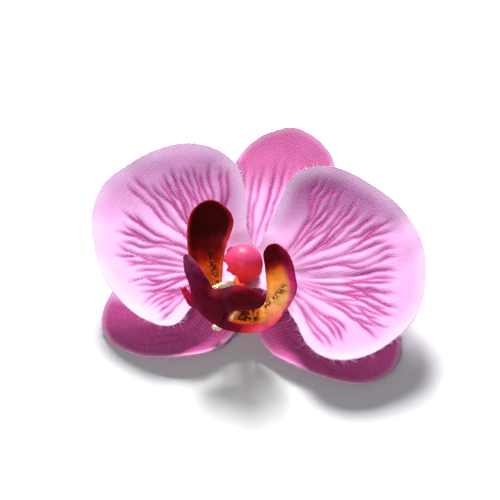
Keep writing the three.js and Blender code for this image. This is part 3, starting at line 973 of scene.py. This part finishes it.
class ORCHID_OT_column(bpy.types.Operator):
    """Makes the moulded column: a scalloped knob on a bent neck, with its post and collar"""

    bl_idname = "orchid.column"
    bl_label = "Column"

    def execute(self, context):
        _, colours = orchid(context)
        bpy.ops.object.select_all(action="DESELECT")
        knob = self.knob()
        post = self.post()
        select_only(knob)
        post.select_set(True)
        bpy.ops.object.join()
        knob.name = "moulded_column"
        finish_surface(knob, 60)
        knob.data.materials.clear()
        dress([knob], column_plastic(tuple(colours.column)))
        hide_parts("column")
        return {"FINISHED"}

    def knob(self):
        bpy.ops.mesh.primitive_uv_sphere_add(
            segments=72, ring_count=48, radius=HEAD_RADIUS * MM, location=HEAD_CENTRE * MM
        )
        knob = bpy.context.object
        bpy.ops.object.transform_apply(location=True, rotation=True, scale=True)
        bpy.ops.object.mode_set(mode="EDIT")
        bpy.context.tool_settings.mesh_select_mode = (True, False, False)
        tilt = math.radians(ELEVATION)
        right = Vector((1, 0, 0))
        up = Vector((0, math.sin(tilt), math.cos(tilt)))
        towards = Vector((0, -math.cos(tilt), math.sin(tilt)))
        for across, rise, half, pull, reach in KNOB_DENTS:
            aim = (right * across + up * rise).normalized()
            middle = HEAD_CENTRE + aim * HEAD_RADIUS * 0.97
            near, far = middle + towards * half, middle - towards * half
            edit_near(knob, far * MM, near * MM, 0.7 * MM)
            bpy.ops.transform.translate(
                value=aim * pull * MM, use_proportional_edit=True,
                proportional_edit_falloff="SMOOTH", proportional_size=reach * MM,
            )
        bpy.ops.object.mode_set(mode="OBJECT")
        return knob

    def post(self):
        bpy.ops.mesh.primitive_cylinder_add(
            vertices=40, radius=POST_RADIUS * MM, depth=POST_LENGTH * MM, location=(0, 0, 8.5 * MM)
        )
        post = bpy.context.object
        bpy.ops.object.transform_apply(location=True, rotation=True, scale=True)
        bpy.ops.object.mode_set(mode="EDIT")
        bpy.context.tool_settings.mesh_select_mode = (False, False, True)
        self.select_top(post)
        for move, grow in NECK_STEPS:
            bpy.ops.mesh.extrude_region_move(TRANSFORM_OT_translate={"value": Vector(move) * MM})
            if grow != 1:
                bpy.ops.transform.resize(
                    value=(grow, grow, grow), center_override=self.face_centre(post)
                )
        bpy.ops.object.mode_set(mode="OBJECT")
        return post

    def select_top(self, piece):
        bpy.ops.mesh.select_all(action="DESELECT")
        bpy.ops.object.mode_set(mode="OBJECT")
        highest = max(face.center.z for face in piece.data.polygons)
        for face in piece.data.polygons:
            face.select = face.center.z > highest - 0.001 * MM
        bpy.ops.object.mode_set(mode="EDIT")

    def face_centre(self, piece):
        bpy.ops.object.mode_set(mode="OBJECT")
        centre = sum((f.center for f in piece.data.polygons if f.select), Vector())
        count = sum(1 for f in piece.data.polygons if f.select)
        bpy.ops.object.mode_set(mode="EDIT")
        return centre / count


def column_plastic(colour):
    """Moulded soft PVC, tinted, with light soaking in; a height ramp paints it pink above and a brighter
    red below, the red a painted glow of light through the plastic.
    """
    made, tree = new_material("moulded_pvc_column")
    place = own_place(tree)
    parts = add_node(tree, "ShaderNodeSeparateXYZ", {0: place})
    height = math_node(tree, "MULTIPLY_ADD", parts.outputs[1], 0.7, parts.outputs[2])
    # Painted glow: lower down the colour turns a brighter red, standing in for light shining through the
    # plastic
    share = ramp(tree, height, 17 * MM, 23.5 * MM)
    tint = blend_colours(tree, share, linear("#ff2a3e"), colour)
    grain = noise(tree, place, 900.0, 3.0)
    milky = ramp(tree, grain, 0.4, 0.8, 0.0, 0.05)
    cloudy = blend_colours(tree, milky, tint, linear("#f0a0b4"))
    bump = add_node(tree, "ShaderNodeBump", {"Height": grain, "Strength": 0.05, "Distance": 0.1 * MM})
    shader = add_node(tree, "ShaderNodeBsdfPrincipled", {
        "Base Color": cloudy, "Normal": bump.outputs[0], "Roughness": 0.42,
        "Subsurface Weight": 0.9, "Subsurface Radius": (3.5 * MM, 0.9 * MM, 1.1 * MM),
        "Subsurface Scale": 1.0, "Specular IOR Level": 0.16,
    })
    add_node(tree, "ShaderNodeOutputMaterial", {0: shader.outputs[0]})
    return made


def set_glue(name, colour):
    """Hot-melt glue, set in crumbs: waxy, cloudy cream with a soft gloss."""
    made, tree = new_material(name)
    place = own_place(tree)
    grit = noise(tree, place, 1600.0, 4.0)
    tint = blend_colours(tree, ramp(tree, grit, 0.35, 0.7), tuple(colour), linear("#fbf0d4"))
    bump = add_node(tree, "ShaderNodeBump", {"Height": grit, "Strength": 0.5, "Distance": 0.2 * MM})
    shader = add_node(tree, "ShaderNodeBsdfPrincipled", {
        "Base Color": tint, "Normal": bump.outputs[0], "Roughness": 0.45,
        "Subsurface Weight": 0.4, "Subsurface Radius": (1 * MM, 0.8 * MM, 0.5 * MM),
        "Subsurface Scale": 1.0,
    })
    add_node(tree, "ShaderNodeOutputMaterial", {0: shader.outputs[0]})
    return made


THROAT_CRUMBS = (
    (-7.9, -8.6, 17.2, 0.8), (-7.2, -8.3, 17.9, 0.62), (-6.4, -8.2, 18.3, 0.72), (-5.6, -8.3, 18.5, 0.6),
    (-4.9, -8.3, 19, 0.66), (-4.2, -8.3, 19.3, 0.55), (-3.5, -8.5, 19.4, 0.5), (-7.6, -9, 16.5, 0.62),
    (-6.8, -8.8, 17, 0.66), (-5.9, -8.8, 17.7, 0.5), (-4.6, -8.8, 18.4, 0.45),
)
LIP_CRUMBS = ((-7.4, -12.3, 7, 0.65), (-6.7, -12.3, 6.8, 0.7), (-6.1, -12.2, 6.9, 0.5))


class ORCHID_OT_glue(bpy.types.Operator):
    """Makes the set glue, lumpy crumbs pressed together"""

    bl_idname = "orchid.glue"
    bl_label = "Glue"

    def execute(self, context):
        _, colours = orchid(context)
        glue = set_glue("set_hot_melt_glue", colours.glue)
        for name, node, crumbs in (
            ("throat_crumbs", "throat_glue", THROAT_CRUMBS), ("lip_crumbs", "lip_glue", LIP_CRUMBS)
        ):
            piece = self.crumbs(name, crumbs)
            dress([piece], glue)
            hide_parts(node)
        return {"FINISHED"}

    def crumbs(self, name, places):
        made = []
        for x, y, z, radius in places:
            bpy.ops.object.select_all(action="DESELECT")
            bpy.ops.mesh.primitive_ico_sphere_add(
                subdivisions=3, radius=radius * MM, location=Vector((x, y, z)) * MM
            )
            made.append(bpy.context.object)
        for crumb in made:
            crumb.select_set(True)
        bpy.ops.object.join()
        piece = bpy.context.object
        piece.name = name
        bpy.ops.object.transform_apply(location=True, rotation=True, scale=True)
        lumps = bpy.data.textures.new(f"{name}_lumps", "CLOUDS")
        lumps.noise_scale = 0.45 * MM
        for kind, settings in (
            ("REMESH", {"mode": "VOXEL", "voxel_size": 0.09 * MM}),
            ("DISPLACE", {"texture": lumps, "strength": 0.8 * MM, "texture_coords": "LOCAL"}),
        ):
            bpy.ops.object.modifier_add(type=kind)
            modifier = piece.modifiers[-1]
            for key, value in settings.items():
                setattr(modifier, key, value)
            bpy.ops.object.modifier_apply(modifier=modifier.name)
        finish_surface(piece, 70)
        return piece


class ORCHID_OT_fittings(bpy.types.Operator):
    """Gives the cap and the washer their moulded finishes"""

    bl_idname = "orchid.fittings"
    bl_label = "Cap and washer"

    def execute(self, context):
        finishes = {
            "back_cap": plain_surface("moulded_polyethylene_cap", linear("#cfdcb4"), 0.45),
            "layer_washer": plain_surface("moulded_polyethylene_washer", linear("#e8ecdf"), 0.45),
        }
        for node, material in finishes.items():
            shown = bpy.data.objects[node]
            shown.data.materials.clear()
            shown.data.materials.append(material)
        return {"FINISHED"}


# ---------------------------------------------------------------- stage
# Each lamp's name, place and size in metres, and power in watts
LAMPS = (
    ("softbox_behind", (-0.07, 0.33, 0.34), 0.17, 7.0),
    ("softbox_front", (-0.10, -0.34, 0.36), 0.10, 0.95),
)
ROOM_LIGHT = 0.12


class ORCHID_OT_stage(bpy.types.Operator):
    """Makes the floor, the lights and the camera"""

    bl_idname = "orchid.stage"
    bl_label = "Stage"

    def execute(self, context):
        scene = context.scene
        bpy.ops.object.select_all(action="DESELECT")
        bpy.ops.mesh.primitive_plane_add(size=3, location=(0, 0, -0.0002))
        floor = context.object
        floor.name = "floor"
        floor.data.materials.append(plain_surface("white_cotton_floor", linear("#ccced0"), 0.9))

        tilt = math.radians(ELEVATION)
        place = LOOK_AT + Vector((0, -math.cos(tilt), math.sin(tilt))) * DISTANCE
        roll = Matrix.Rotation(math.radians(ROLL), 4, "Z")
        turn = Matrix.Rotation(math.pi / 2 - tilt, 4, "X") @ roll
        lens = bpy.data.cameras.new("camera")
        lens.lens = LENS
        lens.sensor_width = 36
        lens.clip_start = 0.01
        camera = bpy.data.objects.new("camera", lens)
        camera.matrix_world = Matrix.Translation(place) @ turn
        scene.collection.objects.link(camera)
        scene.camera = camera

        for lamp in LAMPS:
            self.lamp(scene, *lamp)
        world = bpy.data.worlds.new("world")
        scene.world = world
        world.use_nodes = True
        background = world.node_tree.nodes["Background"]
        background.inputs[0].default_value = (1, 1, 1, 1)
        background.inputs[1].default_value = ROOM_LIGHT
        scene.view_settings.view_transform = "Standard"
        return {"FINISHED"}

    def lamp(self, scene, name, place, size, power):
        light = bpy.data.lights.new(name, "AREA")
        light.shape = "SQUARE"
        light.size = size
        light.energy = power
        lamp = bpy.data.objects.new(name, light)
        turn = (LOOK_AT - Vector(place)).to_track_quat("-Z", "Y").to_matrix().to_4x4()
        lamp.matrix_world = Matrix.Translation(place) @ turn
        scene.collection.objects.link(lamp)


class ORCHID_PT_panel(bpy.types.Panel):
    """Lists the pieces of the flower head"""

    bl_idname = "ORCHID_PT_panel"
    bl_label = "Orchid"
    bl_space_type = "VIEW_3D"
    bl_region_type = "UI"
    bl_category = "Orchid"

    def draw(self, context):
        for group in (context.scene.orchid_sizes, context.scene.orchid_colours):
            for key in group.__annotations__:
                self.layout.prop(group, key)
        for maker in MAKERS:
            self.layout.operator(maker.bl_idname)


MAKERS = (
    ORCHID_OT_stage, ORCHID_OT_petals, ORCHID_OT_sepals, ORCHID_OT_lip, ORCHID_OT_column, ORCHID_OT_glue,
    ORCHID_OT_fittings,
)
CLASSES = (OrchidSizes, OrchidColours, *MAKERS, ORCHID_PT_panel)


def register():
    for made in CLASSES:
        bpy.utils.register_class(made)
    bpy.types.Scene.orchid_sizes = bpy.props.PointerProperty(type=OrchidSizes)
    bpy.types.Scene.orchid_colours = bpy.props.PointerProperty(type=OrchidColours)


def unregister():
    del bpy.types.Scene.orchid_colours
    del bpy.types.Scene.orchid_sizes
    for made in reversed(CLASSES):
        bpy.utils.unregister_class(made)


def main():
    register()
    bpy.ops.orchid.stage()
    bpy.ops.orchid.petals()
    bpy.ops.orchid.sepals()
    bpy.ops.orchid.lip()
    bpy.ops.orchid.column()
    bpy.ops.orchid.glue()
    bpy.ops.orchid.fittings()


if __name__ == "__main__":
    main()
